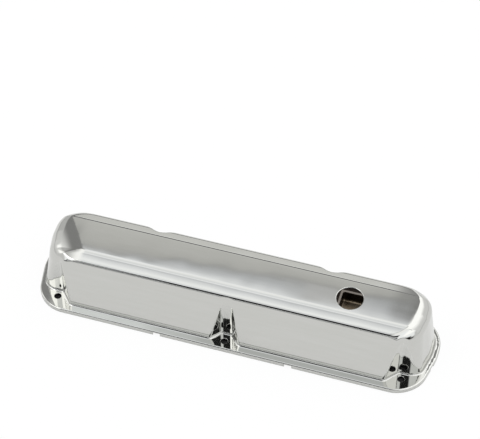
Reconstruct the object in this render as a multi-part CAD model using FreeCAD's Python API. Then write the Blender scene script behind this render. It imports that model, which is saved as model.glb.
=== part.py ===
import FreeCAD, Part
import math
import os

os.makedirs("parts", exist_ok=True)

# Sizes in millimetres. X runs along the cover and +X is the breather end.
# -Y is the exhaust side with three bolts, +Y the intake side with two.
# Z is up and zero is the lower rim of the turned-down lip.

SHEET = 1.1
FLANGE_Z = 5.6

# Flange outline: straight sides, slightly bowed ends, large corner rounds.
FLANGE_Y = 57.0
FLANGE_END_X = 241.9
FLANGE_END_Y = 3.0
FLANGE_EX_X = 229.2
FLANGE_EX_R = 38.0
FLANGE_IN_R = 41.0
BOW_R = 40.0
RIM_R = 1.7

# Foot of the raised part, on the flange, and how far the walls lean in.
FOOT_Y = 47.2
FOOT_END_X = 233.9
FOOT_END_Y = 3.0
FOOT_EX_X = 225.2
FOOT_EX_R = 30.0
FOOT_IN_R = 30.0
FOOT_R = 2.2
LEAN_EX = 0.2125
LEAN_IN = 0.0306
LEAN_END = 0.194

# Roof: a nearly level panel between two creases and a shoulder either side.
CREASE_EX_Y = 19.0
CREASE_EX_Z = 74.8
CREASE_IN_Y = 27.1
CREASE_IN_Z = 77.4
SHOULDER_EX_DEG = 16.2
SHOULDER_IN_DEG = 16.0
CREASE_EX_R = 9.0
CREASE_IN_R = 5.0
EDGE_EX_R = 4.5
EDGE_R = 11.0
EDGE_BLEND_X = 195.0
EDGE_BLEND = 22.0

# Reach of tools past the part, their edge rounds, how far the walls are drawn
# past the roof, and how near two places count as the same.
REACH = 80.0
TOOL_R = 1.5
WALL_TOP = CREASE_IN_Z + 4.0
TOUCH = 0.01

# Bolt recesses: foot of each as half widths and depth line.
MID_MOUTH = 17.5
MID_BACK = 6.0
MID_Y = -34.5
MID_R = 5.0
CORNER_MOUTH_X = 190.5
CORNER_BACK_X = 205.0
CORNER_Y = -30.3
CORNER_TURN_X = 229.5
CORNER_R = 6.0
CORNER_TURN_R = 18.0
NOTCH_X = 104.5
NOTCH_MOUTH = 21.0
NOTCH_BACK = 4.0
NOTCH_Y = 36.6
NOTCH_R = 8.0
RIDGE_MID_R = 3.5
RIDGE_CORNER_R = 4.0
RIDGE_NOTCH_R = 5.0

# Holes.
BOLT_R = 4.15
CORNER_BOLT_X = 209.0
CORNER_BOLT_Y = -38.9
MID_BOLT_Y = -45.8
NOTCH_BOLT_X = 105.5
NOTCH_BOLT_Y = 45.2
BREATHER_X = 134.8
BREATHER_Y = 2.3
BREATHER_R = 15.4

# Gaps in the lip, each from one place along the side or end to another.
GAPS_EX = [(75.3, 84.0)]
GAPS_IN = [(55.0, 133.0), (157.5, 166.0)]
GAP_END = (-14.0, -6.0)
GAP_TOP = 4.1

# Oil baffle under the breather hole: three walls, open towards the exhaust.
BAFFLE_SHEET = 0.9
BAFFLE_DEPTH = 17.0
BAFFLE_X0 = 124.0
BAFFLE_X1 = 160.0
BAFFLE_Y0 = -15.0
BAFFLE_Y1 = 11.5
BAFFLE_TAB = 9.0
BAFFLE_R = 3.5
TAB_R_NEAR = 3.0
TAB_R_FAR = 6.0


def shifted(points, inset):
    """Corner points (u, v, r) of a closed outline, drawn anticlockwise, moved
    inwards by inset: outer corners lose inset from their radius, inner corners
    gain it. Each comes with the length its round takes off either side, and
    the directions of its two sides."""
    n = len(points)
    moved = []
    for i in range(n):
        a = points[i - 1]
        b = points[i]
        c = points[(i + 1) % n]
        d1 = (b[0] - a[0], b[1] - a[1])
        d2 = (c[0] - b[0], c[1] - b[1])
        l1 = math.hypot(d1[0], d1[1])
        l2 = math.hypot(d2[0], d2[1])
        d1 = (d1[0] / l1, d1[1] / l1)
        d2 = (d2[0] / l2, d2[1] / l2)
        turn = d1[0] * d2[1] - d1[1] * d2[0]
        half = math.tan(0.5 * math.atan2(turn, d1[0] * d2[0] + d1[1] * d2[1]))
        u = b[0] + inset * (-d1[1] - d1[0] * half)
        v = b[1] + inset * (d1[0] - d1[1] * half)
        r = b[2] - inset if turn > 0 else b[2] + inset
        moved.append((u, v, r, r * abs(half), d1, d2))
    return moved


def rounded(points, inset):
    """Start, middle and end point of each corner's arc."""
    segments = []
    for u, v, r, cut, d1, d2 in shifted(points, inset):
        start = (u - d1[0] * cut, v - d1[1] * cut)
        end = (u + d2[0] * cut, v + d2[1] * cut)
        bis = (d2[0] - d1[0], d2[1] - d1[1])
        far = (math.hypot(r, cut) - r) / math.hypot(bis[0], bis[1])
        mid = (u + bis[0] * far, v + bis[1] * far)
        segments.append((start, mid, end))
    return segments


def outline(points, inset, place):
    """Edges of the rounded outline, arc and line in turn."""
    segs = rounded(points, inset)
    edges = []
    for i in range(len(segs)):
        start, mid, end = segs[i]
        following = segs[(i + 1) % len(segs)][0]
        edges.append(Part.Arc(place(*start), place(*mid), place(*end)).toShape())
        edges.append(Part.makeLine(place(*end), place(*following)))
    return edges


def level(z):
    return lambda u, v: FreeCAD.Vector(u, v, z)


def mirrored(half):
    """Points of the +X half, exhaust side to intake side, made whole."""
    return half + [(-u, v, r) for u, v, r in reversed(half)]


def block(points, inset, low, high):
    """Upright body over a rounded outline."""
    face = Part.Face(Part.Wire(outline(points, inset, level(low))))
    return face.extrude(FreeCAD.Vector(0, 0, high - low))


flange_plan = mirrored([
    (FLANGE_EX_X, -FLANGE_Y, FLANGE_EX_R),
    (FLANGE_END_X, FLANGE_END_Y, BOW_R),
    (FLANGE_END_X, FLANGE_Y, FLANGE_IN_R),
])


def plan_at(z):
    """Corner points of the walls at height z; every wall stays parallel to
    its foot and leans inwards."""
    rise = z - FLANGE_Z
    ex = -FOOT_Y + LEAN_EX * rise
    inn = FOOT_Y - LEAN_IN * rise
    slope = (FOOT_END_X - FOOT_EX_X) / (FOOT_END_Y + FOOT_Y)
    end = FOOT_END_X - LEAN_END * rise
    skew = math.hypot(slope, 1.0)
    base = FOOT_END_X - LEAN_END * rise * skew
    bend = FOOT_END_Y + (end - base) / slope
    return mirrored([
        (end - slope * (bend - ex), ex, FOOT_EX_R),
        (end, bend, BOW_R),
        (end, inn, FOOT_IN_R),
    ])


def corners(points, inset, z):
    """Corner points of a closed outline moved inwards by inset, unrounded."""
    return [
        FreeCAD.Vector(u, v, z)
        for u, v, r, cut, d1, d2 in shifted(points, inset)
    ]


def frustum(lower, upper, radii):
    """Solid with flat leaning sides between two rings of points at two
    heights, its side edges rounded."""
    bottom = Part.Face(Part.makePolygon(lower + lower[:1]))
    bottom.reverse()
    faces = [bottom, Part.Face(Part.makePolygon(upper + upper[:1]))]
    for i in range(len(lower)):
        ring = [lower[i - 1], lower[i], upper[i], upper[i - 1], lower[i - 1]]
        faces.append(Part.Face(Part.makePolygon(ring)))
    shell = Part.makeShell(faces)
    shell.sewShape()
    body = Part.makeSolid(shell)
    for point, r in zip(lower, radii):
        edge = [
            e for e in body.Edges
            if abs(e.BoundBox.ZLength) > 1e-3
            and min(v.Point.distanceToPoint(point) for v in e.Vertexes) < 1e-4
        ]
        body = single(body.makeFillet(r, edge))
    return body


def walls(inset, low, high):
    """Solid bounded by the leaning side walls."""
    lower = corners(plan_at(low), inset, low)
    upper = corners(plan_at(high), inset, high)
    return frustum(lower, upper, [r - inset for u, v, r in plan_at(FLANGE_Z)])


def roof(inset):
    """Everything under the sloped roof panels, as a long bar."""
    ex = math.tan(math.radians(SHOULDER_EX_DEG)) * (REACH - CREASE_EX_Y)
    inn = math.tan(math.radians(SHOULDER_IN_DEG)) * (REACH - CREASE_IN_Y)
    pts = [
        (-REACH, -REACH, TOOL_R),
        (REACH, -REACH, TOOL_R),
        (REACH, CREASE_IN_Z - inn, TOOL_R),
        (CREASE_IN_Y, CREASE_IN_Z, CREASE_IN_R),
        (-CREASE_EX_Y, CREASE_EX_Z, CREASE_EX_R),
        (-REACH, CREASE_EX_Z - ex, TOOL_R),
    ]
    start = -FLANGE_END_X - REACH
    wire = outline(pts, inset, lambda u, v: FreeCAD.Vector(start, u, v))
    return Part.Face(Part.Wire(wire)).extrude(FreeCAD.Vector(-2 * start, 0, 0))


def up(face):
    a, b, c, d = face.ParameterRange
    return face.normalAt(0.5 * (a + b), 0.5 * (c + d)).z


def seam(body, first, second):
    """Numbers of the edges that part a face of one kind from one of another."""
    found = []
    for i, edge in enumerate(body.Edges):
        faces = body.ancestorsOfType(edge, Part.Face)
        if any(first(f) for f in faces) and any(second(f) for f in faces):
            found.append(i + 1)
    return found


def edge_radius(point, inset):
    """Rounding of the top edge: wide, but tight along the exhaust side."""
    side = EDGE_EX_R if point.y < 0 else EDGE_R
    k = min(max((abs(point.x) - EDGE_BLEND_X) / EDGE_BLEND, 0.0), 1.0)
    return side + k * (EDGE_R - side) - inset


def fillet(body, table):
    """Round edges, each with its own radius at either end."""
    doc = FreeCAD.newDocument("round")
    base = doc.addObject("Part::Feature", "base")
    base.Shape = body
    made = doc.addObject("Part::Fillet", "made")
    made.Base = base
    made.Edges = table
    doc.recompute()
    shape = made.Shape.copy()
    FreeCAD.closeDocument(doc.Name)
    return shape


def single(shape):
    return max(shape.Solids, key=lambda s: s.Volume)


def half_space():
    size = 2 * FLANGE_END_X
    return Part.makeBox(size, size, size, FreeCAD.Vector(0, -size / 2, -size / 2))


def dome(inset, low):
    """The +X half of the raised part before the recesses are pressed in."""
    body = walls(inset, low, WALL_TOP).common(roof(inset))
    body = single(body.common(half_space()))
    table = []
    for i in seam(body, lambda f: up(f) > 0.8, lambda f: abs(up(f)) < 0.5):
        ends = [v.Point for v in body.Edges[i - 1].Vertexes]
        if max(p.x for p in ends) > 1.0:
            table.append((i, edge_radius(ends[0], inset), edge_radius(ends[-1], inset)))
    return single(fillet(body, table))


def recess_plans():
    """Plan outlines of what the recesses take away."""
    far = REACH
    slope = (MID_MOUTH - MID_BACK) / (MID_Y + FOOT_Y)
    wide = MID_BACK + slope * (far + MID_Y)
    mid = [
        (-wide, -far, TOOL_R),
        (wide, -far, TOOL_R),
        (MID_BACK, MID_Y, MID_R),
        (-MID_BACK, MID_Y, MID_R),
    ]
    slope = (CORNER_BACK_X - CORNER_MOUTH_X) / (CORNER_Y + FOOT_Y)
    along = (FOOT_END_X - FOOT_EX_X) / (FOOT_END_Y + FOOT_Y)
    corner = [
        (CORNER_BACK_X - slope * (far + CORNER_Y), -far, TOOL_R),
        (FLANGE_END_X + far, -far, TOOL_R),
        (FLANGE_END_X + far, FOOT_Y, TOOL_R),
        (CORNER_TURN_X + along * (FOOT_Y - CORNER_Y), FOOT_Y, TOOL_R),
        (CORNER_TURN_X, CORNER_Y, CORNER_TURN_R),
        (CORNER_BACK_X, CORNER_Y, CORNER_R),
    ]
    slope = (NOTCH_MOUTH - NOTCH_BACK) / (FOOT_Y - NOTCH_Y)
    wide = NOTCH_BACK + slope * (far - NOTCH_Y)
    notch = [
        (NOTCH_X + NOTCH_BACK, NOTCH_Y, NOTCH_R),
        (NOTCH_X + wide, far, TOOL_R),
        (NOTCH_X - wide, far, TOOL_R),
        (NOTCH_X - NOTCH_BACK, NOTCH_Y, NOTCH_R),
    ]
    return mid, corner, notch


def pressed(inset, low):
    """The half dome with its bolt recesses and their rounded ridges."""
    body = dome(inset, low)
    for plan in recess_plans():
        body = single(body.cut(block(plan, -inset, -REACH, WALL_TOP)))
    table = []
    recess = seam(
        body,
        lambda f: abs(up(f)) < 1e-6 and f.CenterOfMass.x > 1e-3,
        lambda f: abs(up(f)) > 1e-3 and up(f) > -0.5,
    )
    for i in recess:
        place = body.Edges[i - 1].CenterOfMass
        r = RIDGE_NOTCH_R
        if place.y < CREASE_IN_Y:
            r = RIDGE_MID_R if place.x < MID_MOUTH else RIDGE_CORNER_R
        table.append((i, r - inset, r - inset))
    return single(fillet(body, table))


def half_body(inset):
    """Half of the outer form, or of the hollow when inset is the sheet. The
    lip bends round RIM_R outside and is sharp inside."""
    low = -inset
    top = FLANGE_Z - inset
    body = pressed(inset, low)
    rim = block(flange_plan, inset, low, top).common(half_space())
    body = single(body.fuse(rim).removeSplitter())
    flat = seam(
        body,
        lambda f: up(f) > 0.999 and abs(f.CenterOfMass.z - top) < 0.01,
        lambda f: abs(up(f)) < 0.6 and f.CenterOfMass.x > 1e-3,
    )
    table = []
    for i in flat:
        edge = body.Edges[i - 1]
        if any(f.BoundBox.ZMax > top + 1 for f in body.ancestorsOfType(edge, Part.Face)):
            table.append((i, FOOT_R + inset, FOOT_R + inset))
        elif inset == 0.0:
            table.append((i, RIM_R, RIM_R))
    return single(fillet(body, table))


def box(x0, x1, y0, y1, z0, z1):
    corner = FreeCAD.Vector(min(x0, x1), min(y0, y1), z0)
    return Part.makeBox(abs(x1 - x0), abs(y1 - y0), z1 - z0, corner)


def upright(x, y, r):
    return Part.makeCylinder(r, 2 * FLANGE_Z, FreeCAD.Vector(x, y, 0.0))


def tilted(shape):
    """Put a shape drawn with its top at z 0 onto the sloped roof panel."""
    slope = (CREASE_IN_Z - CREASE_EX_Z) / (CREASE_IN_Y + CREASE_EX_Y)
    shape = shape.copy()
    shape.rotate(FreeCAD.Vector(0, 0, 0), FreeCAD.Vector(1, 0, 0), math.degrees(math.atan(slope)))
    z = CREASE_EX_Z + slope * (BREATHER_Y + CREASE_EX_Y)
    shape.translate(FreeCAD.Vector(BREATHER_X, BREATHER_Y, z))
    return shape


def cover_shell():
    half = single(half_body(0.0).cut(half_body(SHEET)))
    other = half.mirror(FreeCAD.Vector(0, 0, 0), FreeCAD.Vector(1, 0, 0))
    body = single(half.fuse(other).removeSplitter())
    cuts = []
    for a, b in GAPS_EX:
        for side in (-1, 1):
            cuts.append(box(side * a, side * b, -REACH, -FLANGE_Y + RIM_R, -GAP_TOP, GAP_TOP))
    for a, b in GAPS_IN:
        for side in (-1, 1):
            cuts.append(box(side * a, side * b, FLANGE_Y - RIM_R, REACH, -GAP_TOP, GAP_TOP))
    for side in (-1, 1):
        ends = (side * FOOT_END_X, side * (FLANGE_END_X + RIM_R))
        cuts.append(box(ends[0], ends[1], GAP_END[0], GAP_END[1], -GAP_TOP, GAP_TOP))
        cuts.append(upright(side * CORNER_BOLT_X, CORNER_BOLT_Y, BOLT_R))
        cuts.append(upright(side * NOTCH_BOLT_X, NOTCH_BOLT_Y, BOLT_R))
    cuts.append(upright(0.0, MID_BOLT_Y, BOLT_R))
    bore = Part.makeCylinder(BREATHER_R, 8 * SHEET, FreeCAD.Vector(0, 0, -4 * SHEET))
    cuts.append(tilted(bore))
    for tool in cuts:
        body = body.cut(tool)
    return single(body)


def tray(inset):
    """The baffle's pan as a solid, or its hollow when inset is the sheet."""
    x0 = BAFFLE_X0 - BREATHER_X + inset
    x1 = BAFFLE_X1 - BREATHER_X - inset
    y0 = BAFFLE_Y0 - BREATHER_Y - 2 * BAFFLE_R
    y1 = BAFFLE_Y1 - BREATHER_Y - inset
    floor = inset - BAFFLE_DEPTH
    pan = box(x0, x1, y0, y1, floor, 0.0)
    bends = [e for e in pan.Edges if e.BoundBox.ZMin < floor + TOUCH and e.BoundBox.YMax > y0 + TOUCH]
    corner = [e for e in pan.Edges if e.BoundBox.YMin > y1 - TOUCH and e.BoundBox.ZLength > TOUCH]
    return pan.makeFillet(BAFFLE_R - inset, bends + corner)


def breather_baffle():
    x0 = BAFFLE_X0 - BREATHER_X - BAFFLE_TAB
    x1 = BAFFLE_X1 - BREATHER_X + BAFFLE_TAB
    y0 = BAFFLE_Y0 - BREATHER_Y
    y1 = BAFFLE_Y1 - BREATHER_Y + BAFFLE_TAB
    low = -SHEET - BAFFLE_SHEET
    plan = [
        (x0, y0, TAB_R_NEAR),
        (x1, y0, TAB_R_NEAR),
        (x1, y1, TAB_R_FAR),
        (x0, y1, TAB_R_FAR),
    ]
    tabs = block(plan, 0.0, low, -SHEET)
    keep = box(x0, x1, y0, y1, -2 * BAFFLE_DEPTH, -SHEET)
    solid = tabs.fuse(tray(0.0).common(keep))
    hollow = tray(BAFFLE_SHEET)
    body = single(solid.cut(hollow).common(keep))
    return tilted(single(body.removeSplitter()))


parts = {
    "cover_shell": cover_shell(),
    "breather_baffle": breather_baffle(),
}
for name, shape in parts.items():
    shape.exportStep("parts/" + name + ".step")
    print(name, shape.ShapeType, shape.isValid(), round(shape.Volume, 1), len(shape.Faces))
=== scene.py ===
import math

import bmesh
import bpy
import numpy as np
from mathutils import Matrix


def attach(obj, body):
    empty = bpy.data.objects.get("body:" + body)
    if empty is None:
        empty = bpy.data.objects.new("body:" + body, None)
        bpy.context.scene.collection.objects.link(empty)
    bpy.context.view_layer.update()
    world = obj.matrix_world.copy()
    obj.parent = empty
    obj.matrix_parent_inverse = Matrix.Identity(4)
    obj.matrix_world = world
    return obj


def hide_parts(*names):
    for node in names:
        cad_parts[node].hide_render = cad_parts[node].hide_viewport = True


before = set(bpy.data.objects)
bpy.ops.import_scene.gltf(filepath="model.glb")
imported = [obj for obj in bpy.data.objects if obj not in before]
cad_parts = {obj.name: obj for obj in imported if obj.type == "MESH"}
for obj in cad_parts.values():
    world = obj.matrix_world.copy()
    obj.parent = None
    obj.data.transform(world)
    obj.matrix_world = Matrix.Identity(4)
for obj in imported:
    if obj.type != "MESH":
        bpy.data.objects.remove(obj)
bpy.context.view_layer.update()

# Sizes in millimetres, the same as the solids have. The meshes are made in
# millimetres too, and scaled to metres when they are finished. EX is the exhaust
# side with three bolts (-Y), IN the intake side with two.
MM = 0.001
SHEET = 1.1
FLANGE_Z = 5.6
FLANGE_Y = 57.0
FLANGE_END_X = 241.9
FLANGE_END_Y = 3.0
FLANGE_EX_X = 229.2
FLANGE_EX_R = 38.0
FLANGE_IN_R = 41.0
RIM_R = 1.7

FOOT_Y = 47.2
FOOT_END_Y = 3.0
FOOT_EX_X = 225.2
FOOT_EX_R = 30.0
FOOT_IN_R = 30.0
FOOT_R = 2.2
LEAN_EX = 0.2125
LEAN_IN = 0.0306

CREASE_EX = (-19.0, 74.8)
CREASE_IN = (27.1, 77.4)
SHOULDER_EX = math.radians(16.2)
SHOULDER_IN = math.radians(16.0)
EDGE_EX_R = 4.5
EDGE_R = 11.0

MID_MOUTH = 17.5
MID_BACK = 6.0
MID_Y = -34.5
MID_R = 5.0
CORNER_MOUTH_X = 190.5
CORNER_BACK_X = 205.0
CORNER_Y = -30.3
CORNER_TURN_X = 229.5
CORNER_R = 6.0
CORNER_TURN_R = 18.0
NOTCH_X = 104.5
NOTCH_MOUTH = 21.0
NOTCH_BACK = 4.0
NOTCH_Y = 36.6
NOTCH_R = 8.0
RIDGE_MID_R = 3.5
RIDGE_CORNER_R = 4.0
RIDGE_NOTCH_R = 5.0

BOLT_R = 4.15
BOLTS = [(209.0, -38.9), (-209.0, -38.9), (0.0, -45.8), (105.5, 45.2), (-105.5, 45.2)]
BREATHER = (134.8, 2.3)
BREATHER_R = 15.4
BAFFLE_X = 142.0
BAFFLE_HALF = 18.0
BAFFLE_BACK = 11.5
LIP_GAPS_EX = [(75.3, 84.0)]
LIP_GAPS_IN = [(55.0, 133.0), (157.5, 166.0)]
LIP_GAP_END = (-14.0, -6.0)
LIP_GAP_TOP = 4.1

# Where the plated skin departs from the solids, by little and inside their box,
# because the plating mirrors every bend: steeper end walls with a wider bow,
# rounder creases, and a roof panel that is slightly crowned and drops towards
# both ends. The exhaust shoulder takes a share of that drop and has a swell of
# its own about one line.
FOOT_END_X = 235.2
LEAN_END = 0.135
BOW_R = 60.0
CREASE_EX_R = 18.0
CREASE_IN_R = 7.0
EDGE_END_R = 15.0
CROWN = 0.22
ROLL = 0.0035
ROLL_LEFT_X = 178.0
ROLL_RIGHT_X = 204.0
ROLL_IN_X = 210.0
ROLL_SHOULDER = 0.35
SWELL = 0.12
SWELL_Y = -26.5
SWELL_HALF = 8.0

# The round of the roof's edge changes from side to side and towards the ends.
EDGE_ACROSS = (-12, 12)
EDGE_ALONG = (186, 216)

# Depth of the round on each recess's ridges, as a share of its radius: low on
# the wall, and what is added towards the roof between two heights.
RIDGE_MID = (0.36, 0.34, 52, 66)
RIDGE_CORNER = (0.38, 0.32, 52, 66)
RIDGE_NOTCH = (0.17, 0.45, 50, 68)


# The pressed form as one function of a point: negative in the metal or in the
# hollow under it, zero on the outer skin.

def unit(*v):
    length = math.sqrt(sum(c * c for c in v))
    return [c / length for c in v]


def turn(a, b):
    """Angle between two unit normals."""
    return math.acos(max(-1.0, min(1.0, sum(p * q for p, q in zip(a, b)))))


def soft(radius, angle):
    """How deep under one face a round of that radius starts on the other, for
    two faces whose normals are that angle apart."""
    return radius * math.tan(angle / 2) * math.sin(angle)


def outside(a, b, r):
    """Common part of two forms, its edge rounded from depth r on."""
    return np.minimum(np.maximum(a, b), -r) + np.hypot(np.maximum(a + r, 0), np.maximum(b + r, 0))


def inside(a, b, r):
    """Both forms joined, with a hollow round between them from height r on."""
    return np.maximum(np.minimum(a, b), r) - np.hypot(np.maximum(r - a, 0), np.maximum(r - b, 0))


def step(low, high, v):
    """Smooth step from 0 at low to 1 at high."""
    t = np.clip((v - low) / (high - low), 0.0, 1.0)
    return t * t * (3 - 2 * t)


SLOPE_FOOT = (FOOT_END_X - FOOT_EX_X) / (FOOT_END_Y + FOOT_Y)
SLOPE_FLANGE = (FLANGE_END_X - FLANGE_EX_X) / (FLANGE_END_Y + FLANGE_Y)
FOOT_ANGLE = math.atan(SLOPE_FOOT)
FLANGE_ANGLE = math.atan(SLOPE_FLANGE)
ROOF_PITCH = (CREASE_IN[1] - CREASE_EX[1]) / (CREASE_IN[0] - CREASE_EX[0])
ROOF_MID = 0.5 * (CREASE_EX[0] + CREASE_IN[0])
ROOF_HALF = 0.5 * (CREASE_IN[0] - CREASE_EX[0])

# Outward normals of walls, roof and the sides of the recesses.
N_EX = unit(0, -1, LEAN_EX)
N_IN = unit(0, 1, LEAN_IN)
N_END = unit(1, 0, LEAN_END)
N_ROOF = unit(0, -ROOF_PITCH, 1)
N_SH_EX = unit(0, -math.tan(SHOULDER_EX), 1)
N_SH_IN = unit(0, math.tan(SHOULDER_IN), 1)
N_MID = unit(1, (MID_MOUTH - MID_BACK) / (FOOT_Y + MID_Y), 0)
N_CORNER = unit(-1, (CORNER_BACK_X - CORNER_MOUTH_X) / (FOOT_Y + CORNER_Y), 0)
N_TURN = unit(-1, SLOPE_FOOT, 0)
N_NOTCH = unit(1, -(NOTCH_MOUTH - NOTCH_BACK) / (FOOT_Y - NOTCH_Y), 0)

SOFT_EX = soft(EDGE_EX_R, turn(N_EX, N_SH_EX))
SOFT_IN = soft(EDGE_R, turn(N_IN, N_SH_IN))
SOFT_END = soft(EDGE_END_R, turn(N_END, N_ROOF))


def crown(y):
    """Height of the roof panel's crown over the plane through both creases."""
    return CROWN * (1 - ((y - ROOF_MID) / ROOF_HALF) ** 2)


def walls(ax, y, z):
    """The four leaning walls, each end bowed."""
    rise = z - FLANGE_Z
    ex = ((-y - FOOT_Y) + LEAN_EX * rise) / math.hypot(1, LEAN_EX)
    inn = ((y - FOOT_Y) + LEAN_IN * rise) / math.hypot(1, LEAN_IN)
    end = ((ax - FOOT_END_X) + LEAN_END * rise) / math.hypot(1, LEAN_END)
    skew = ((ax - FOOT_END_X) - SLOPE_FOOT * (y - FOOT_END_Y)) / math.hypot(1, SLOPE_FOOT)
    skew = (skew + LEAN_END * rise) / math.hypot(1, LEAN_END)
    wall = outside(end, skew, soft(BOW_R, FOOT_ANGLE))
    wall = outside(wall, ex, soft(FOOT_EX_R, math.pi / 2 - FOOT_ANGLE))
    return outside(wall, inn, soft(FOOT_IN_R, math.pi / 2))


def roof(x, y, z):
    """The panel between the creases, with a shoulder either side."""
    first = np.where(x < 0, ROLL_LEFT_X, ROLL_RIGHT_X)
    across = np.clip((y - CREASE_EX[0]) / (2 * ROOF_HALF), 0, 1)
    start = first + (ROLL_IN_X - first) * across
    drop = ROLL * np.maximum(np.abs(x) - start, 0) ** 2
    panel = (z - CREASE_EX[1] - ROOF_PITCH * (y - CREASE_EX[0]) - crown(y) + drop) * N_ROOF[2]
    swell = SWELL * (1 - np.minimum(np.abs((y - SWELL_Y) / SWELL_HALF), 1) ** 2)
    sh_ex = z - CREASE_EX[1] - math.tan(SHOULDER_EX) * (y - CREASE_EX[0])
    sh_ex = (sh_ex - swell + ROLL_SHOULDER * drop) * N_SH_EX[2]
    sh_in = (z - CREASE_IN[1] + math.tan(SHOULDER_IN) * (y - CREASE_IN[0])) * N_SH_IN[2]
    panel = outside(panel, sh_ex, soft(CREASE_EX_R, turn(N_ROOF, N_SH_EX)))
    return outside(panel, sh_in, soft(CREASE_IN_R, turn(N_ROOF, N_SH_IN)))


def middle_recess(ax, y):
    back = MID_Y - y
    side = (ax - MID_BACK) * N_MID[0] - back * N_MID[1]
    return outside(-back, side, soft(MID_R, turn((0, 1, 0), N_MID)))


def corner_recess(ax, y):
    back = y - CORNER_Y
    side = (ax - CORNER_BACK_X) * N_CORNER[0] + back * N_CORNER[1]
    turned = (ax - CORNER_TURN_X) * N_TURN[0] + back * N_TURN[1]
    recess = inside(back, turned, soft(CORNER_TURN_R, math.pi / 2 - FOOT_ANGLE))
    return outside(recess, side, soft(CORNER_R, turn((0, 1, 0), N_CORNER)))


def notch(ax, y):
    back = y - NOTCH_Y
    side = (np.abs(ax - NOTCH_X) - NOTCH_BACK) * N_NOTCH[0] + back * N_NOTCH[1]
    return outside(-back, side, soft(NOTCH_R, turn((0, -1, 0), N_NOTCH)))


def ridge(radius, share, z):
    """Depth from which a recess's ridge is rounded, at height z."""
    low, more, start, end = share
    return radius * (low + more * step(start, end, z))


def raised(x, y, z):
    """The raised part with its recesses."""
    ax = np.abs(x)
    side = SOFT_EX + (SOFT_IN - SOFT_EX) * step(*EDGE_ACROSS, y)
    side = side + step(*EDGE_ALONG, ax) * (SOFT_END - side)
    body = outside(walls(ax, y, z), roof(x, y, z), side)
    body = outside(body, -middle_recess(ax, y), ridge(RIDGE_MID_R, RIDGE_MID, z))
    body = outside(body, -corner_recess(ax, y), ridge(RIDGE_CORNER_R, RIDGE_CORNER, z))
    return outside(body, -notch(ax, y), ridge(RIDGE_NOTCH_R, RIDGE_NOTCH, z))


def plate(x, y, z):
    """The flange with its rounded rim."""
    ax = np.abs(x)
    skew = ((ax - FLANGE_END_X) - SLOPE_FLANGE * (y - FLANGE_END_Y)) / math.hypot(1, SLOPE_FLANGE)
    rim = outside(ax - FLANGE_END_X, skew, soft(BOW_R, FLANGE_ANGLE))
    rim = outside(rim, -y - FLANGE_Y, soft(FLANGE_EX_R, math.pi / 2 - FLANGE_ANGLE))
    rim = outside(rim, y - FLANGE_Y, soft(FLANGE_IN_R, math.pi / 2))
    return outside(rim, z - FLANGE_Z, RIM_R)


def form(p):
    x, y, z = p[..., 0], p[..., 1], p[..., 2]
    return inside(raised(x, y, z), plate(x, y, z), FOOT_R)


# From the form to a mesh: a grid of places, and one point in each cell of it
# that the skin passes through.

# Ends of the stretches that get a fine or a coarse grid: round the recesses and
# notches along the cover, round the exhaust crease across it, and the height of
# flange and roof edge. The pitches are for the outer and for the inner skin.
MID_TO = 26
NOTCH_FROM = 76
NOTCH_TO = 134
CORNER_FROM = 184
SHOULDER_TO = -25
CREASE_FROM = -21
CREASE_TO = -17
PANEL_TO = 24
RIM_TO = 9
ROOF_FROM = 54
OUTER_PITCH = {"middle": 1.0, "bent": 1.25, "straight": 5, "side": 0.95, "shoulder": 2, "crease": 0.8,
               "panel": 3.4, "rim": 0.75, "wall": 4.5, "roof": 0.95}
INNER_PITCH = {"middle": 1.5, "bent": 1.8, "straight": 6, "side": 1.4, "shoulder": 2, "crease": 1.0,
               "panel": 4, "rim": 1.0, "wall": 5, "roof": 1.4}

# How often a point is moved onto the skin, the longest move, and the least
# squared slope that a move is worked out with.
SETTLE = 6
LONGEST_MOVE = 1.5
LEAST_SLOPE = 0.2


def ticks(*spans):
    """Grid places: (from, to, pitch) spans one after another."""
    out = [spans[0][0]]
    for low, high, pitch in spans:
        n = max(1, round((high - low) / pitch))
        out.extend(low + (high - low) * (i + 1) / n for i in range(n))
    return np.array(out)


def grid(pitch, far_x, far_y, below, above):
    """Grid places along, across and up, out to the ends given."""
    half = [(MID_TO, NOTCH_FROM, pitch["straight"]), (NOTCH_FROM, NOTCH_TO, pitch["bent"]),
            (NOTCH_TO, CORNER_FROM, pitch["straight"]), (CORNER_FROM, far_x, pitch["bent"])]
    other = [(-high, -low, size) for low, high, size in reversed(half)]
    along = ticks(*other, (-MID_TO, MID_TO, pitch["middle"]), *half)
    across = ticks((-far_y, SHOULDER_TO, pitch["side"]), (SHOULDER_TO, CREASE_FROM, pitch["shoulder"]),
                   (CREASE_FROM, CREASE_TO, pitch["crease"]), (CREASE_TO, PANEL_TO, pitch["panel"]),
                   (PANEL_TO, far_y, pitch["side"]))
    up = ticks((-below, 0, below / 2), (0, RIM_TO, pitch["rim"]), (RIM_TO, ROOF_FROM, pitch["wall"]),
               (ROOF_FROM, above, pitch["roof"]))
    return along, across, up


def slope(field, p, h=0.02):
    """Gradient of a field by central differences."""
    g = np.empty_like(p)
    for k in range(3):
        d = np.zeros(3)
        d[k] = h
        g[..., k] = (field(p + d) - field(p - d)) / (2 * h)
    return g


def neighbours(axis):
    """Slices that set each place of a grid beside the next one along an axis."""
    low = [slice(None)] * 3
    high = [slice(None)] * 3
    low[axis] = slice(0, -1)
    high[axis] = slice(1, None)
    return tuple(low), tuple(high)


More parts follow.
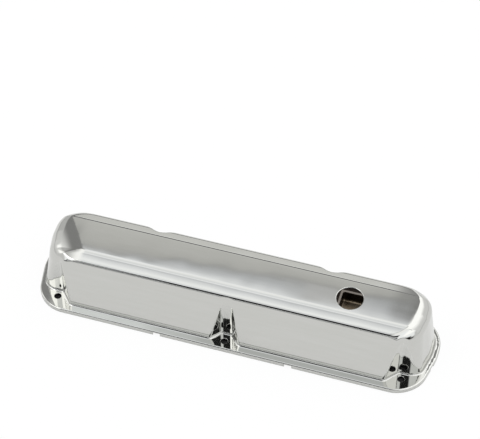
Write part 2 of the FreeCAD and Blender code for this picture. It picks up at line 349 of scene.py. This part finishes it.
def skin(field, xs, ys, zs):
    """Closed quad mesh of the zero surface of a field: one point in each grid
    cell that the surface crosses, moved onto the surface."""
    places = np.stack(np.meshgrid(xs, ys, zs, indexing="ij"), -1)
    v = field(places)
    neg = v < 0
    nx, ny, nz = neg.shape
    total = np.zeros((nx - 1, ny - 1, nz - 1, 3))
    count = np.zeros((nx - 1, ny - 1, nz - 1))
    for axis in range(3):
        low, high = neighbours(axis)
        cross = neg[low] != neg[high]
        with np.errstate(divide="ignore", invalid="ignore"):
            t = np.where(cross, v[low] / (v[low] - v[high]), 0.0)
        at = places[low] + t[..., None] * (places[high] - places[low])
        at = np.where(cross[..., None], at, 0.0)
        others = [k for k in range(3) if k != axis]
        for da in (0, 1):
            for db in (0, 1):
                part = [slice(None)] * 3
                part[others[0]] = slice(da, cross.shape[others[0]] - 1 + da)
                part[others[1]] = slice(db, cross.shape[others[1]] - 1 + db)
                total += at[tuple(part)]
                count += cross[tuple(part)]
    used = count > 0
    index = -np.ones(used.shape, int)
    index[used] = np.arange(used.sum())
    points = total[used] / count[used][:, None]
    for _ in range(SETTLE):
        f = field(points)
        g = slope(field, points)
        size = np.maximum((g * g).sum(-1), LEAST_SLOPE)
        move = -(f / size)[:, None] * g
        points = points + np.clip(move, -LONGEST_MOVE, LONGEST_MOVE)
    quads = []
    for axis in range(3):
        low, high = neighbours(axis)
        where = np.argwhere(neg[low] != neg[high])
        u, w = [(1, 2), (2, 0), (0, 1)][axis]
        ok = (where[:, u] > 0) & (where[:, w] > 0)
        ok &= (where[:, u] < neg.shape[u] - 1) & (where[:, w] < neg.shape[w] - 1)
        where = where[ok]
        first = neg[low][tuple(where.T)]
        ring = []
        for du, dw in ((1, 1), (0, 1), (0, 0), (1, 0)):
            cell = where.copy()
            cell[:, u] -= du
            cell[:, w] -= dw
            ring.append(index[tuple(cell.T)])
        quad = np.stack(ring, 1)
        quads.append(np.where(first[:, None], quad, quad[:, ::-1]))
    return points, np.concatenate(quads)


def as_object(name, points, faces):
    mesh = bpy.data.meshes.new(name)
    mesh.from_pydata([tuple(p) for p in points], [], [tuple(int(i) for i in f) for f in faces])
    mesh.update()
    obj = bpy.data.objects.new(name, mesh)
    bpy.context.scene.collection.objects.link(obj)
    return obj


def pressed(name, inset, pitch, far_x, far_y, below, above):
    """The form with its skin set in, closed by a flat face under the lip."""
    bottom = 0.1 - below

    def field(p):
        return np.maximum(form(p) + inset, bottom - p[..., 2])

    return as_object(name, *skin(field, *grid(pitch, far_x, far_y, below, above)))


def brick(x0, x1, y0, y1, z0, z1):
    points = [(x, y, z) for x in (x0, x1) for y in (y0, y1) for z in (z0, z1)]
    faces = [(0, 1, 3, 2), (4, 6, 7, 5), (0, 4, 5, 1), (2, 3, 7, 6), (0, 2, 6, 4), (1, 5, 7, 3)]
    return as_object("brick", points, faces)


def discard(obj):
    mesh = obj.data
    bpy.data.objects.remove(obj)
    bpy.data.meshes.remove(mesh)


def apply_modifiers(obj):
    """Turn what an object's modifiers make into its plain mesh."""
    bpy.context.view_layer.update()
    seen = obj.evaluated_get(bpy.context.evaluated_depsgraph_get())
    mesh = bpy.data.meshes.new_from_object(seen)
    obj.modifiers.clear()
    old = obj.data
    obj.data = mesh
    bpy.data.meshes.remove(old)


def carve(obj, tools):
    """Cut the tools from an object, each in turn, and drop them."""
    for tool in tools:
        cut = obj.modifiers.new("cut", "BOOLEAN")
        cut.operation = "DIFFERENCE"
        cut.object = tool
        cut.solver = "MANIFOLD"
    apply_modifiers(obj)
    for tool in tools:
        discard(tool)


# Node trees: arithmetic on a Value adds the Math nodes for it.

class Value:
    def __init__(self, tree, socket):
        self.tree = tree
        self.socket = socket

    def _math(self, operation, *values):
        return self.tree.node("ShaderNodeMath", {"operation": operation}, values)[0]

    def __add__(self, other):
        return self._math("ADD", self, other)

    __radd__ = __add__

    def __sub__(self, other):
        return self._math("SUBTRACT", self, other)

    def __rsub__(self, other):
        return self._math("SUBTRACT", other, self)

    def __mul__(self, other):
        return self._math("MULTIPLY", self, other)

    __rmul__ = __mul__

    def __truediv__(self, other):
        return self._math("DIVIDE", self, other)

    def __pow__(self, other):
        return self._math("POWER", self, other)

    def __abs__(self):
        return self._math("ABSOLUTE", self)

    def above(self, other):
        """The larger of the two."""
        return self._math("MAXIMUM", self, other)


class Tree:
    """One node tree. node() takes a type, its settings and its inputs by place
    or name, and returns its outputs as Values."""

    def __init__(self, tree):
        self.tree = tree
        tree.nodes.clear()

    def node(self, kind, settings=None, inputs=()):
        made = self.tree.nodes.new(kind)
        for key, setting in (settings or {}).items():
            if key == "stops":
                ramp = made.color_ramp
                while len(ramp.elements) < len(setting):
                    ramp.elements.new(0.5)
                for element, (place, colour) in zip(ramp.elements, setting):
                    element.position = place
                    element.color = (*colour, 1.0)
            else:
                setattr(made, key, setting)
        pairs = inputs.items() if isinstance(inputs, dict) else enumerate(inputs)
        for key, given in pairs:
            if isinstance(given, Value):
                self.tree.links.new(given.socket, made.inputs[key])
            elif given is not None:
                made.inputs[key].default_value = given
        return [Value(self, out) for out in made.outputs]

    def ramp(self, value, stops, interpolation="EASE"):
        """Colours by value; a plain number is a grey."""
        stops = [(place, (c, c, c) if isinstance(c, float) else c) for place, c in stops]
        made = self.node("ShaderNodeValToRGB", {"stops": stops}, [value])
        made[0].socket.node.color_ramp.interpolation = interpolation
        return made[0]

    def blend(self, value, low, high):
        """Smooth step from 0 at low to 1 at high."""
        return self.node("ShaderNodeMapRange", {"interpolation_type": "SMOOTHSTEP"},
                         {"Value": value, "From Min": low, "From Max": high})[0]

    def within(self, *edges):
        """1 where all edges are past: each is a value, its place of 0 and of 1."""
        made = self.blend(*edges[0])
        for edge in edges[1:]:
            made = made * self.blend(*edge)
        return made

    def mix(self, factor, a, b):
        """Colour a, or b where factor is 1; a plain number is a grey."""
        a, b = [(c, c, c, 1.0) if isinstance(c, float) else c for c in (a, b)]
        return self.node("ShaderNodeMix", {"data_type": "RGBA"}, {0: factor, 6: a, 7: b})[2]

    def place(self):
        """Points of a piece in its own coordinates."""
        return self.node("ShaderNodeTexCoord")[3]

    def split(self, vector):
        return self.node("ShaderNodeSeparateXYZ", {}, [vector])

    def stretch(self, place, *scale):
        return self.node("ShaderNodeMapping", {}, {"Vector": place, "Scale": scale})[0]

    def noise(self, place, scale, detail, roughness=0.5):
        return self.node("ShaderNodeTexNoise", {}, {
            "Vector": place, "Scale": scale, "Detail": detail, "Roughness": roughness})[0]

    def metal(self, colour, rough, strength, distance, height):
        """Bare metal with a bump of that strength and distance."""
        bump = self.node("ShaderNodeBump", {}, {
            "Strength": strength, "Distance": distance, "Height": height})[0]
        shader = self.node("ShaderNodeBsdfPrincipled", {}, {
            "Base Color": colour, "Metallic": 1.0, "Roughness": rough, "Normal": bump})[0]
        self.node("ShaderNodeOutputMaterial", {}, [shader])


# Round holes: a tree of Geometry Nodes makes the punches that cut them. LIP is the
# round of a hole's upper edge and BURR that of its lower one, each in ARC_STEPS,
# and a punch goes past the sheet by PUNCH_OVER at both ends.

ROOF_TILT = math.atan(ROOF_PITCH)
BREATHER_TOP = CREASE_EX[1] + ROOF_PITCH * (BREATHER[1] - CREASE_EX[0]) + crown(BREATHER[1])
BREATHER_PLACE = Matrix.Translation((*BREATHER, BREATHER_TOP)) @ Matrix.Rotation(ROOF_TILT, 4, "X")
BREATHER_LIP = 0.95
BREATHER_SIDES = 96
BOLT_LIP = 0.45
BOLT_SIDES = 48
BURR = 0.12
PUNCH_OVER = 6.0
ARC_STEPS = 6
PUNCH_INPUTS = [("Places", "Geometry"), ("Radius", "Float"), ("Lip", "Float"), ("Burr", "Float"),
                ("Sheet", "Float"), ("Sides", "Int"), ("Metal", "Material")]


def punch_tree():
    """Nodes that set one round punch on each point. Its upper edge is rounded by
    Lip, its lower by Burr; its own height 0 lies in the sheet's upper face. The
    outline has a point at the top, the two arcs and a point at the bottom."""
    group = bpy.data.node_groups.new("punches", "GeometryNodeTree")
    for name, kind in PUNCH_INPUTS:
        group.interface.new_socket(name, in_out="INPUT", socket_type="NodeSocket" + kind)
    group.interface.new_socket("Tools", in_out="OUTPUT", socket_type="NodeSocketGeometry")
    t = Tree(group)
    places, radius, lip, burr, sheet, sides, metal = t.node("NodeGroupInput")[:len(PUNCH_INPUTS)]
    index = t.node("GeometryNodeInputIndex")[0]

    def calc(operation, *values):
        return t.node("ShaderNodeMath", {"operation": operation}, values)[0]

    def quarter(first):
        return t.node("ShaderNodeMapRange", {}, {
            "Value": index, "From Min": first, "From Max": first + ARC_STEPS, "To Max": math.pi / 2})[0]

    upper_first = 1.0
    lower_first = upper_first + ARC_STEPS + 1
    last = lower_first + ARC_STEPS + 1
    upper = quarter(upper_first)
    lower = quarter(lower_first)
    width = radius + lip * (1.0 - calc("SINE", upper)) + burr * (1.0 - calc("COSINE", lower))
    over = calc("LESS_THAN", index, upper_first - 0.5) * PUNCH_OVER
    under = calc("GREATER_THAN", index, last - 0.5) * PUNCH_OVER
    top = lip * (calc("COSINE", upper) - 1.0) + over
    bottom = burr * (1.0 - calc("SINE", lower)) - sheet - under
    is_top = calc("LESS_THAN", index, lower_first - 0.5)
    height = is_top * top + (1.0 - is_top) * bottom
    rail = t.node("GeometryNodeMeshLine", {"mode": "OFFSET"}, {"Count": int(last) + 1})[0]
    rail = t.node("GeometryNodeMeshToCurve", {}, [rail])[0]
    spot = t.node("ShaderNodeCombineXYZ", {}, {"Z": height})[0]
    rail = t.node("GeometryNodeSetPosition", {}, {"Geometry": rail, "Position": spot})[0]
    ring = t.node("GeometryNodeCurvePrimitiveCircle", {"mode": "RADIUS"}, {
        "Resolution": sides, "Radius": 1.0})[0]
    tool = t.node("GeometryNodeCurveToMesh", {}, {
        "Curve": rail, "Profile Curve": ring, "Scale": width, "Fill Caps": True})[0]
    tools = t.node("GeometryNodeInstanceOnPoints", {}, {"Points": places, "Instance": tool})[0]
    tools = t.node("GeometryNodeRealizeInstances", {}, [tools])[0]
    tools = t.node("GeometryNodeSetMaterial", {}, {"Geometry": tools, "Material": metal})[0]
    t.node("NodeGroupOutput", {}, [tools])
    return group


def punches(group, places, radius, lip, sides, metal):
    """Tools of the round holes at the places given, as one object."""
    obj = as_object("punches", places, [])
    nodes = obj.modifiers.new("punches", "NODES")
    nodes.node_group = group
    given = {"Radius": radius, "Lip": lip, "Burr": BURR, "Sheet": SHEET, "Sides": sides, "Metal": metal}
    for item in group.interface.items_tree:
        if item.in_out == "INPUT" and item.name in given:
            nodes[item.identifier] = given[item.name]
    apply_modifiers(obj)
    return obj


def lip_gaps():
    """Bricks that cut the gaps out of the turned-down lip, from below it and
    from beyond it."""
    below = -1
    far_x = FLANGE_END_X + 5
    far_y = 70.0
    bricks = []
    for s in (-1, 1):
        for a, b in LIP_GAPS_EX:
            along = sorted((s * a, s * b))
            bricks.append(brick(*along, -far_y, -FLANGE_Y + RIM_R, below, LIP_GAP_TOP))
        for a, b in LIP_GAPS_IN:
            along = sorted((s * a, s * b))
            bricks.append(brick(*along, FLANGE_Y - RIM_R, far_y, below, LIP_GAP_TOP))
        along = sorted((s * FOOT_END_X, s * far_x))
        bricks.append(brick(*along, *LIP_GAP_END, below, LIP_GAP_TOP))
    return bricks


def cover_mesh(metal):
    """The pressed shell: outer skin less the hollow, less all that is under the
    lip's lower rim, with rounded holes and lip gaps."""
    shell = pressed("cover", 0.0, OUTER_PITCH, far_x=244, far_y=59, below=3, above=80)
    hollow = pressed("hollow", SHEET, INNER_PITCH, far_x=243, far_y=58, below=6, above=79)
    under = brick(-250, 250, -62, 62, -9, 0)
    group = punch_tree()
    breather = punches(group, [(0, 0, 0)], BREATHER_R, BREATHER_LIP, BREATHER_SIDES, metal)
    breather.data.transform(BREATHER_PLACE)
    places = [(x, y, FLANGE_Z) for x, y in BOLTS]
    screws = punches(group, places, BOLT_R, BOLT_LIP, BOLT_SIDES, metal)
    carve(shell, [hollow, under, breather, screws, *lip_gaps()])
    return shell


def unit_rows(n):
    return n / np.maximum(np.linalg.norm(n, axis=1), 1e-6)[:, None]


def hole_normals(points, place, radius, lip):
    """Outward normals on the wall and rounded edges of one punched hole, with
    each point's distance from its axis and height over the sheet."""
    inv = np.array(place.inverted())
    local = points @ inv[:3, :3].T + inv[:3, 3]
    rho = np.hypot(local[:, 0], local[:, 1])
    radial = local[:, :2] / np.maximum(rho, 1e-6)[:, None]
    h = local[:, 2]
    upper = h > -SHEET + BURR
    across = np.where(upper, rho - radius - lip, rho - radius - BURR)
    up = np.where(upper, np.maximum(h + lip, 0), np.minimum(h + SHEET - BURR, 0))
    n = np.column_stack((radial * across[:, None], up))
    rot = np.array(place)[:3, :3]
    return unit_rows(n) @ rot.T, rho, h


def read(items, name, kind=float):
    """One property of all items of a mesh, as rows of three: a vector each, or
    the three corners of each triangle."""
    width = 1 if kind is int else 3
    values = np.empty(len(items) * width, kind)
    items.foreach_get(name, values)
    return values.reshape(-1, 3)


# A face takes the exact skin's normals if its middle lies that near to the skin
# and it faces about the same way, and a hole's if it lies inside the rounded
# edge and no further from the sheet than HOLE_REACH. Points nearer than MERGE
# are one.
SKIN_NEAR = 0.3
SKIN_FACING = 0.5
HOLE_REACH = 3
HOLE_EDGE = 0.995
MERGE = 1e-4


def smooth_shell(obj):
    """Give every corner the normal of the exact form, so the plating mirrors
    cleanly; the cut faces of lip and gaps stay flat."""
    mesh = obj.data
    mesh.validate()
    bm = bmesh.new()
    bm.from_mesh(mesh)
    bmesh.ops.remove_doubles(bm, verts=bm.verts, dist=MERGE)
    bmesh.ops.dissolve_degenerate(bm, edges=bm.edges, dist=MERGE)
    bmesh.ops.triangulate(bm, faces=bm.faces)
    bm.to_mesh(mesh)
    bm.free()
    points = read(mesh.vertices, "co")
    centre = read(mesh.polygons, "center")
    flat = read(mesh.polygons, "normal")
    corner = read(mesh.loops, "vertex_index", int)
    value = form(centre)
    along = (unit_rows(slope(form, centre)) * flat).sum(1)
    outer = (np.abs(value) < SKIN_NEAR) & (along > SKIN_FACING)
    inner = (np.abs(value + SHEET) < SKIN_NEAR) & (along < -SKIN_FACING)
    at = unit_rows(slope(form, points))
    normals = np.repeat(flat[:, None, :], 3, axis=1)
    normals[outer] = at[corner[outer]]
    normals[inner] = -at[corner[inner]]
    holes = [(BREATHER_PLACE, BREATHER_R, BREATHER_LIP)]
    holes += [(Matrix.Translation((x, y, FLANGE_Z)), BOLT_R, BOLT_LIP) for x, y in BOLTS]
    for place, radius, lip in holes:
        edge = hole_normals(points, place, radius, lip)[0]
        _, rho, height = hole_normals(centre, place, radius, lip)
        near = (rho < radius + lip * HOLE_EDGE) & (np.abs(height) < HOLE_REACH)
        normals[near] = edge[corner[near]]
    count = len(mesh.polygons)
    mesh.polygons.foreach_set("use_smooth", np.ones(count, bool))
    mesh.polygons.foreach_set("material_index", np.zeros(count, int))
    mesh.normals_split_custom_set(normals.reshape(-1, 3).tolist())
    mesh.transform(Matrix.Scale(MM, 4))
    mesh.update()


def material(name):
    mat = bpy.data.materials.new(name)
    mat.use_nodes = True
    return mat, Tree(mat.node_tree)


def chrome_plate():
    """Bright chrome: almost clean mirror, with faint waves of the pressing,
    polishing haze and a little unevenness of tone."""
    mat, t = material("chrome_plate")
    place = t.place()
    waves = t.noise(place, 22.0, 1.0, 0.4)
    haze = t.noise(t.stretch(place, 6.0, 60.0, 60.0), 3.0, 5.0, 0.6)
    fine = t.noise(place, 900.0, 3.0, 0.6)
    colour = t.ramp(haze, [(0.3, (0.545, 0.547, 0.522)), (0.7, (0.565, 0.566, 0.545))], "LINEAR")
    rough = haze * 0.035 + fine * 0.02 + 0.028
    t.metal(colour, rough, 0.12, 0.002, waves)
    return mat


def baffle_steel():
    """Steel painted near black as the shade inside the cover, with painted highlights
    along the folds and the tray's floor painted brown as light through the hole."""
    mat, t = material("baffle_steel")
    place = t.place()
    grain = t.noise(t.stretch(place, 30.0, 900.0, 900.0), 1.0, 4.0)
    stain = t.noise(place, 90.0, 3.0)
    x, y, z = t.split(place)
    outward = (abs(x / MM - BAFFLE_X) - BAFFLE_HALF).above(y / MM - BAFFLE_BACK)
    depth = BREATHER_TOP - z / MM + ROOF_PITCH * (y / MM - BREATHER[1])
    # Painted highlights along the fold edges near the top, painted light on the tray's floor, and painted
    # shade in near black elsewhere.
    painted_fold_highlight = t.blend(outward + stain * 0.8, 2.3, 1.3) * t.blend(depth, 2.6, 2.2)
    painted_floor_light = t.blend(depth, 12.5, 15.0)
    painted_shade_black = t.ramp(stain, [(0.3, (0.013, 0.010, 0.009)), (0.7, (0.030, 0.024, 0.020))], "LINEAR")
    painted_lit_brown = t.ramp(stain, [(0.3, (0.15, 0.115, 0.075)), (0.7, (0.24, 0.20, 0.15))], "LINEAR")
    colour = t.mix(painted_fold_highlight, t.mix(painted_floor_light, painted_shade_black, painted_lit_brown), (0.20, 0.18, 0.16, 1.0))
    rough = grain * 0.15 + stain * 0.1 + 0.25
    t.metal(colour, rough, 0.2, 0.0002, grain)
    return mat


# The floor around the cover, in metres: how far from the flange its shade
# reaches in the mirror, and where the three exhaust recesses shade it more.
FLOOR_HALF = 4.0
SHADE_REACH = 0.06
NOOK_X = 0.215
NOOK_FADE = (0.026, 0.010)
NOOK_FRONT = (-0.090, -0.060)


def floor_white():
    """White paper: white to the lens, shaded close to the cover in what the plating
    mirrors of it, and painted dark underneath as the shade under the cover."""
    mat, t = material("floor_white")
    rays = t.node("ShaderNodeLightPath")
    is_camera, is_glossy, is_transmission = rays[0], rays[3], rays[6]
    x, y, _ = t.split(t.place())
    corner = FLANGE_EX_R * MM
    along = (abs(x) - (FLANGE_EX_X * MM - corner)).above(0.0)
    across = (abs(y) - (FLANGE_Y * MM - corner)).above(0.0)
    away = (along ** 2 + across ** 2) ** 0.5 - corner
    open_air = t.blend(away, -0.006, -0.002)
    shade = t.ramp(away / SHADE_REACH, [
        (0.0, 0.08), (0.08, 0.25), (0.14, 0.80), (0.30, 0.90), (1.0, 1.0)])
    aside = abs(abs(abs(x) - NOOK_X / 2) - NOOK_X / 2)
    nook = t.within((aside, *NOOK_FADE), (y, *NOOK_FRONT))
    mirrored = shade * (1.0 - nook * 0.8)
    seen = is_camera.above(is_glossy * mirrored).above(is_transmission) * open_air
    # The paper's colour is painted dark under the cover as its shade, so the holes look dark.
    paper = t.node("ShaderNodeBsdfDiffuse", {}, {"Color": t.mix(open_air, 0.05, 0.9)})[0]
    white = t.node("ShaderNodeEmission", {}, {"Color": (1, 1, 1, 1), "Strength": 1.0})[0]
    shader = t.node("ShaderNodeMixShader", {}, [seen * 0.93, paper, white])[0]
    t.node("ShaderNodeOutputMaterial", {}, [shader])
    return mat


# The light tent, by direction: x to the breather end, y away from the exhaust
# side, z up. Strengths over 1 are those of the lit cloth.

def rear_board(t, x, y, z):
    """Board behind the cover. It greys upward to a sharp border, and lightens
    over it, the sooner the further left; the top is striped by folds."""
    border = 0.829
    pale = (0.90, 0.90, 0.88)
    board = t.ramp(z, [
        (0.0, 0.9), (0.03, 0.12), (0.19, 0.12), (0.24, pale), (0.31, pale), (0.35, 1.25), (0.47, 1.25),
        (0.50, 0.10), (0.66, 0.10), (0.70, 0.85), (0.76, (0.88, 0.88, 0.86)), (0.792, (0.82, 0.82, 0.80)),
        (0.812, (0.76, 0.76, 0.74)), (0.8250, (0.70, 0.70, 0.68)), (0.8292, 0.46), (0.87, 1.35),
        (0.90, 1.4)])
    reach = (z - border).above(0.0) / (x * 0.165 + 0.0489).above(0.005)
    lift = t.ramp(reach / 3.0, [
        (0.0, 0.46), (0.05, (0.64, 0.66, 0.68)), (0.12, (0.74, 0.76, 0.79)), (0.22, (0.84, 0.86, 0.90)),
        (0.33, (1.12, 1.14, 1.18)), (0.50, (1.42, 1.44, 1.48))], "LINEAR")
    calm = t.within((x, -0.165, -0.145), (x, -0.112, -0.128), (reach, 1.0, 0.8))
    lift = t.mix(calm * 0.8, lift, 0.75)
    board = t.mix(t.within((z, 0.8285, 0.8300), (z, 0.885, 0.865)), board, lift)
    stripe = t.ramp(y, [
        (0.0, (1.0, 1.01, 1.04)), (0.045, (1.0, 1.01, 1.04)), (0.08, (1.46, 1.48, 1.5)),
        (0.105, (1.2, 1.22, 1.26)), (0.135, (0.88, 0.90, 0.94)), (0.17, (0.95, 0.97, 1.0)),
        (0.20, (1.42, 1.44, 1.48)), (0.30, (1.15, 1.17, 1.2)), (0.42, (1.46, 1.48, 1.5))])
    return t.mix(t.blend(z, 0.885, 0.905), board, stripe)


def rear_sides(t, x, y, z):
    """Cloth either side of the board: on the left dark next to it and pale further
    out, with a bright spot; on the right a bright band. It dims near the floor."""
    left = t.mix(t.blend(y, 0.28, 0.40), 1.0, 0.72)
    left = t.mix(t.blend(x, -0.42, -0.54), 0.34, left)
    spot = t.within((y - (x + 0.6) * 0.4, 0.30, 0.24), (x, -0.50, -0.60), (z, 0.15, 0.35))
    spot = spot * (1.0 - t.within((z, 0.66, 0.72), (y, 0.22, 0.17)))
    left = t.mix(spot, left, 1.75)
    left = t.mix(t.blend(z, 0.845, 0.865), left, t.mix(t.blend(x, -0.30, -0.365), 1.62, 0.80))
    right = t.ramp(x + (y - 0.37).above(0.0) * 1.2, [
        (0.0, 0.75), (0.03, 1.2), (0.08, 1.75), (0.60, 1.75), (0.72, 1.5), (0.83, 1.1), (0.90, 0.98)])
    sides = t.mix(t.blend(x, -0.2, 0.0), left, right)
    return t.mix(t.blend(z, 0.03, 0.15) * 0.2 + 0.8, 0.0, sides)


def front_cloth(t, x, z):
    """Cloth in front: pale at the horizon, a dark strip over it, and bright above
    that, brightest overhead on the left, with a brighter patch each side."""
    cloth = t.ramp(z, [
        (0.0, 0.95), (0.06, 0.9), (0.09, 0.1), (0.16, 0.1), (0.24, (1.45, 1.47, 1.50)),
        (0.80, (1.45, 1.47, 1.50))])
    above = t.mix(t.blend(x, -0.19, -0.25), (1.17, 1.20, 1.24, 1.0), (1.78, 1.84, 1.92, 1.0))
    above = t.mix(t.blend(x, -0.05, 0.05), above, 1.4)
    cloth = t.mix(t.blend(z, 0.80, 0.88), cloth, above)
    outer = t.blend(x, -0.68, -0.78).above(t.blend(x, 0.86, 0.92))
    cloth = t.mix(outer, cloth, 0.9)
    cloth = t.mix(t.within((x, 0.55, 0.65), (x, 0.88, 0.83), (z, 0.42, 0.52)), cloth, 1.75)
    return t.mix(t.within((x, -0.27, -0.31), (x, -0.76, -0.70), (z, 0.68, 0.74)), cloth, 2.8)


def front_gaps(t, x, y, z):
    """Dark openings in the cloth in front. The rounded edges mirror them as thin
    dark lines."""
    low = t.within((x, -0.66, -0.60), (x, 0.45, 0.40), (z, 0.26, 0.34), (z, 0.462, 0.450))
    hook = t.within((x, -0.70, -0.64), (x, -0.54, -0.58), (z, 0.19, 0.22))
    hook = hook.above(t.within((x, 0.66, 0.70), (x, 0.85, 0.81), (z, 0.08, 0.12)))
    hook = hook * t.blend(z, 0.32, 0.26)
    middle = t.within((x, -0.40, -0.36), (x, 0.45, 0.40), (z, 0.504, 0.518), (z, 0.74, 0.70))
    high = t.blend(x, -0.27, -0.22).above(t.within((x, -0.34, -0.31), (z, 0.79, 0.82)))
    high = high * t.blend(x, 0.16, 0.03) * t.blend(z, 0.66, 0.70) * t.blend(z, 0.94, 0.91)
    corner = t.within((x, 0.45, 0.52), (y, -0.24, -0.18), (y, -0.05, -0.09), (z, 0.60, 0.70),
                      (z, 0.84, 0.82))
    return low.above(hook).above(middle).above(high).above(corner)


def studio():
    """Light tent without lamps: a grey board between bright sides behind the
    cover, white cloth with dark openings in front of it."""
    world = bpy.data.worlds.new("tent")
    bpy.context.scene.world = world
    world.use_nodes = True
    t = Tree(world.node_tree)
    x, y, z = t.split(t.node("ShaderNodeTexCoord")[0])
    centre = t.within((x, -0.2885, -0.2795), (x, -0.03, -0.08))
    rear = t.mix(centre, rear_sides(t, x, y, z), rear_board(t, x, y, z))
    gap = t.within((x, -0.104, -0.094), (x, -0.030, -0.045), (y, 0.49, 0.53))
    rear = t.mix(gap, rear, 0.37)
    front = t.mix(front_gaps(t, x, y, z) * 0.985, front_cloth(t, x, z), 0.01)
    sky = t.mix(t.blend(y, -0.08, 0.0), front, rear)
    shade = t.node("ShaderNodeBackground", {}, [sky, 1.0])[0]
    t.node("ShaderNodeOutputWorld", {}, [shade])


def floor():
    corners = [(x * FLOOR_HALF, y * FLOOR_HALF, 0) for x, y in ((-1, -1), (1, -1), (1, 1), (-1, 1))]
    obj = as_object("floor", corners, [(0, 1, 2, 3)])
    obj.data.materials.append(floor_white())


# The camera as it was fitted to the photograph: its place in metres, how far it
# is turned to the left of straight across the cover, and how far it is tilted up
# from looking straight down.
LENS = 131.6
SENSOR = 36.0
CAMERA_AT = (0.3849, -1.2384, 1.6183)
CAMERA_TURN = math.radians(17.05)
CAMERA_TILT = math.radians(41.81)


def camera():
    cam = bpy.data.cameras.new("camera")
    cam.lens = LENS
    cam.sensor_width = SENSOR
    cam.clip_start = 0.01
    obj = bpy.data.objects.new("camera", cam)
    bpy.context.scene.collection.objects.link(obj)
    aim = Matrix.Rotation(CAMERA_TURN, 4, "Z") @ Matrix.Rotation(CAMERA_TILT, 4, "X")
    obj.matrix_world = Matrix.Translation(CAMERA_AT) @ aim
    bpy.context.scene.camera = obj


bpy.context.scene.view_settings.view_transform = "Standard"
chrome = chrome_plate()
cover = cover_mesh(chrome)
smooth_shell(cover)
cover.data.materials.clear()
cover.data.materials.append(chrome)
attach(cover, "root")
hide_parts("cover_shell")

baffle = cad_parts["breather_baffle"]
baffle.data.materials.clear()
baffle.data.materials.append(baffle_steel())

floor()
studio()
camera()
print("cover triangles", len(cover.data.polygons))
